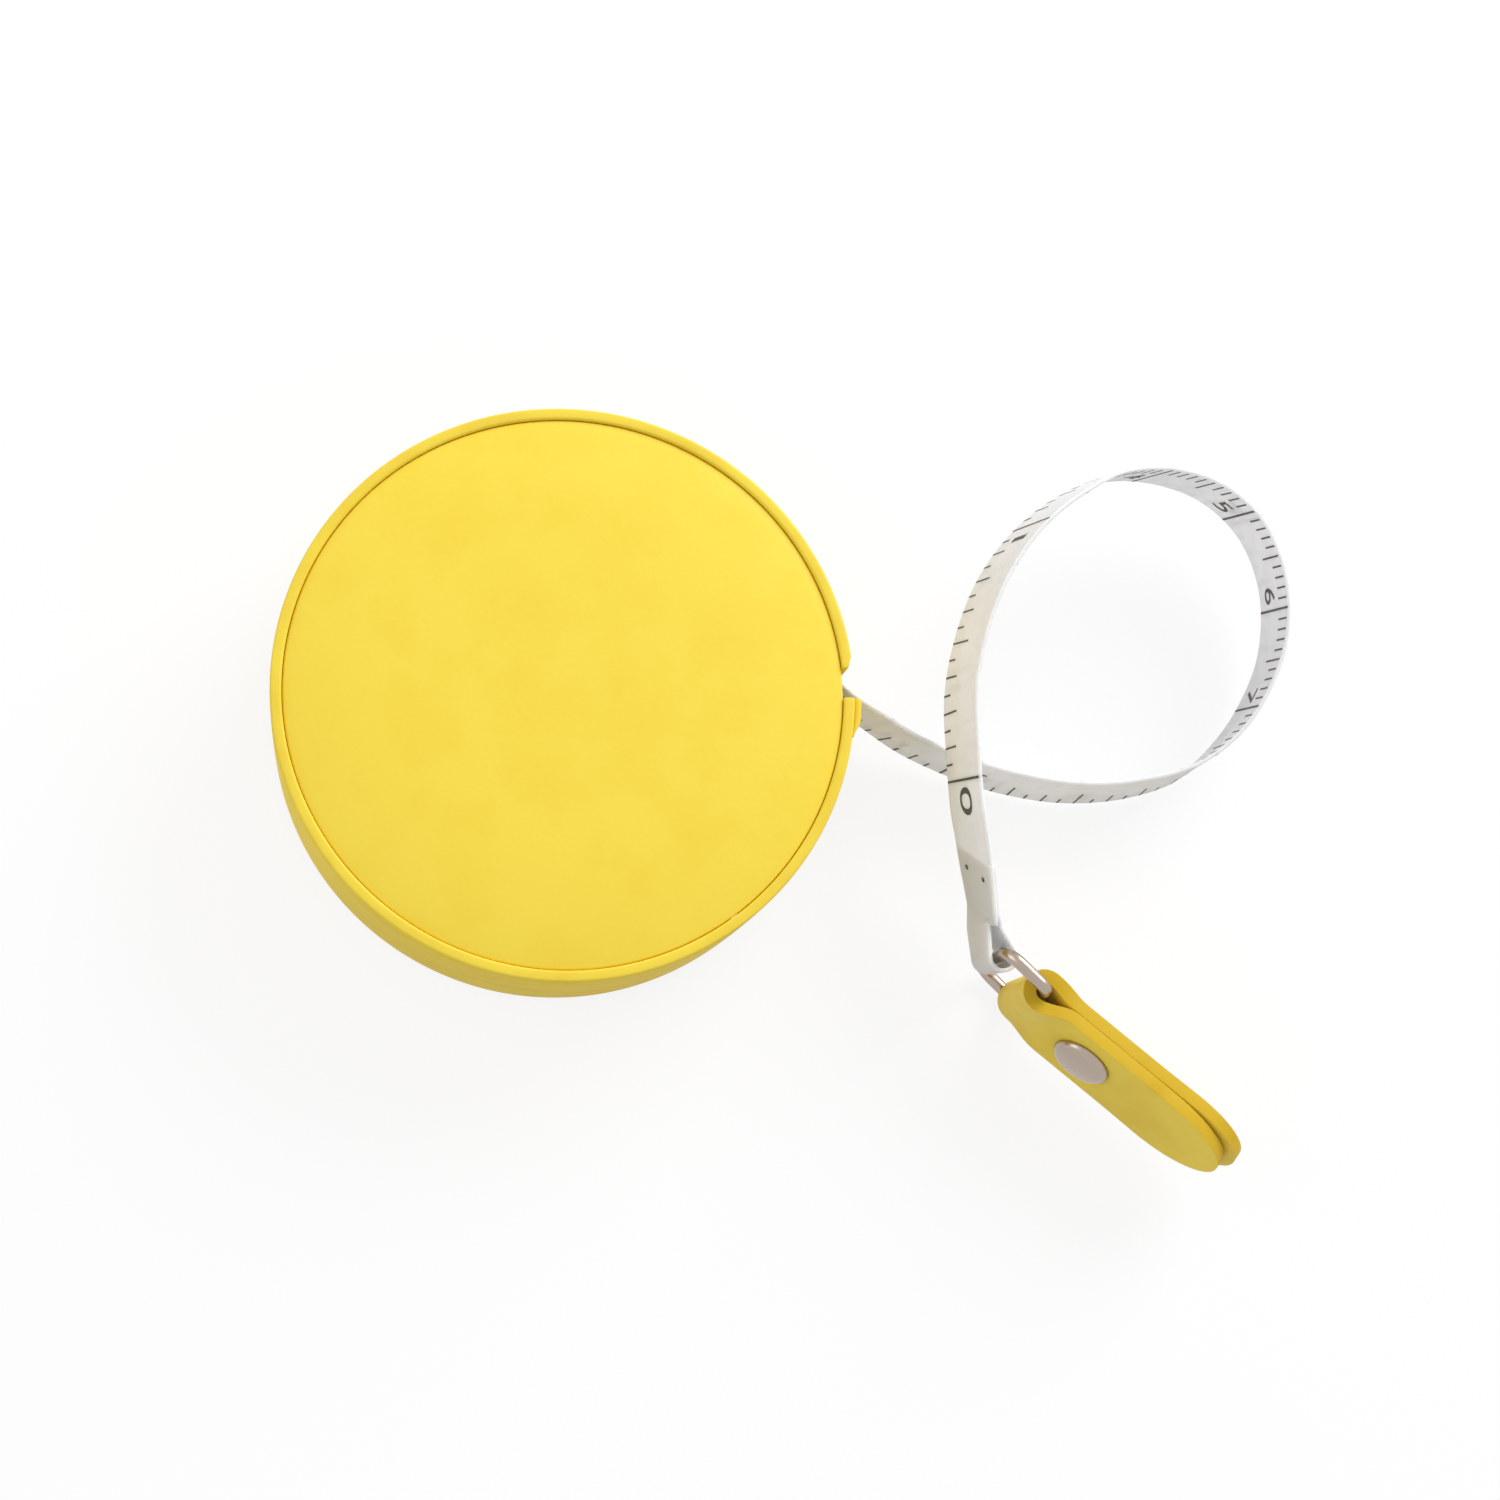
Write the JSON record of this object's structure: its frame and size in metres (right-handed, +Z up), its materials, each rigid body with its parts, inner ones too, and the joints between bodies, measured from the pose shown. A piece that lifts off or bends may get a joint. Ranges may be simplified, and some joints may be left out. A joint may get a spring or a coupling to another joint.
{
  "type": "cloth tape measure",
  "caption": "Round leather-covered spring-return pocket tape measure with a hidden centre button, a printed cloth tape, a wire ring and a riveted pull tab.",
  "frame": {"origin": "middle of the flat back that the case rests on, measured on the case without the free tape and what is on it", "axes": "+Z up through the middle of the padded front, +X towards the slot in the rim where the tape leaves"},
  "size_m": [0.0936, 0.0669, 0.0172],
  "materials": {
    "cover_leather": "smooth finished yellow leather",
    "band_leather": "smooth finished yellow leather, cut edge",
    "tab_leather": "smooth finished yellow leather, cut edge",
    "foam": "thin soft foam",
    "casing_plastic": "moulded, satin",
    "reel_plastic": "moulded, satin",
    "button_plastic": "moulded, satin",
    "spring_steel": "bright drawn",
    "brake_rubber": "soft, matt",
    "tape_cloth": "coated woven tape, printed on both faces",
    "nickel": "bright nickel plate"
  },
  "bodies": {
    "case": {"front_cover": "cover_leather", "front_pad": "foam", "front_casing": "casing_plastic", "back_casing": "casing_plastic", "back_cover": "cover_leather", "rim_band": "band_leather", "spring_arbor": "reel_plastic", "arbor_screw": "spring_steel", "mainspring": "spring_steel", "brake_spring": "spring_steel", "tape_run": "tape_cloth", "tape_end_staple": "spring_steel"},
    "reel": {"reel_drum": "reel_plastic", "reel_lid": "reel_plastic", "tape_winding": "tape_cloth"},
    "button": {"press_button": "button_plastic", "brake_plate": "button_plastic", "brake_ring": "brake_rubber"},
    "ring": {"d_ring": "nickel"},
    "tab": {"pull_tab": "tab_leather", "rivet_cap": "nickel", "rivet_post": "nickel"}
  },
  "joints": [
    {"name": "reel_spin", "type": "hinge", "parent": "case", "child": "reel", "pos_m": [0, 0, 0.00705], "axis": [0, 0, 1], "range_deg": [-4570, 395]},
    {"name": "button_press", "type": "slide", "parent": "case", "child": "button", "axis": [0, 0, -1], "range_m": [0, 0.0012], "stiffness_N_per_m": 1500, "deforming": ["brake_spring"]},
    {"name": "ring_swing", "type": "hinge", "parent": "case", "child": "ring", "pos_m": [0.0397, -0.022, 0.0067], "axis": [0, 0, 1], "range_deg": [-60, 40]},
    {"name": "tab_swing", "type": "hinge", "parent": "ring", "child": "tab", "pos_m": [0.04322, -0.0254, 0.0067], "axis": [0, 0, 1], "range_deg": [-60, 35]}
  ]
}
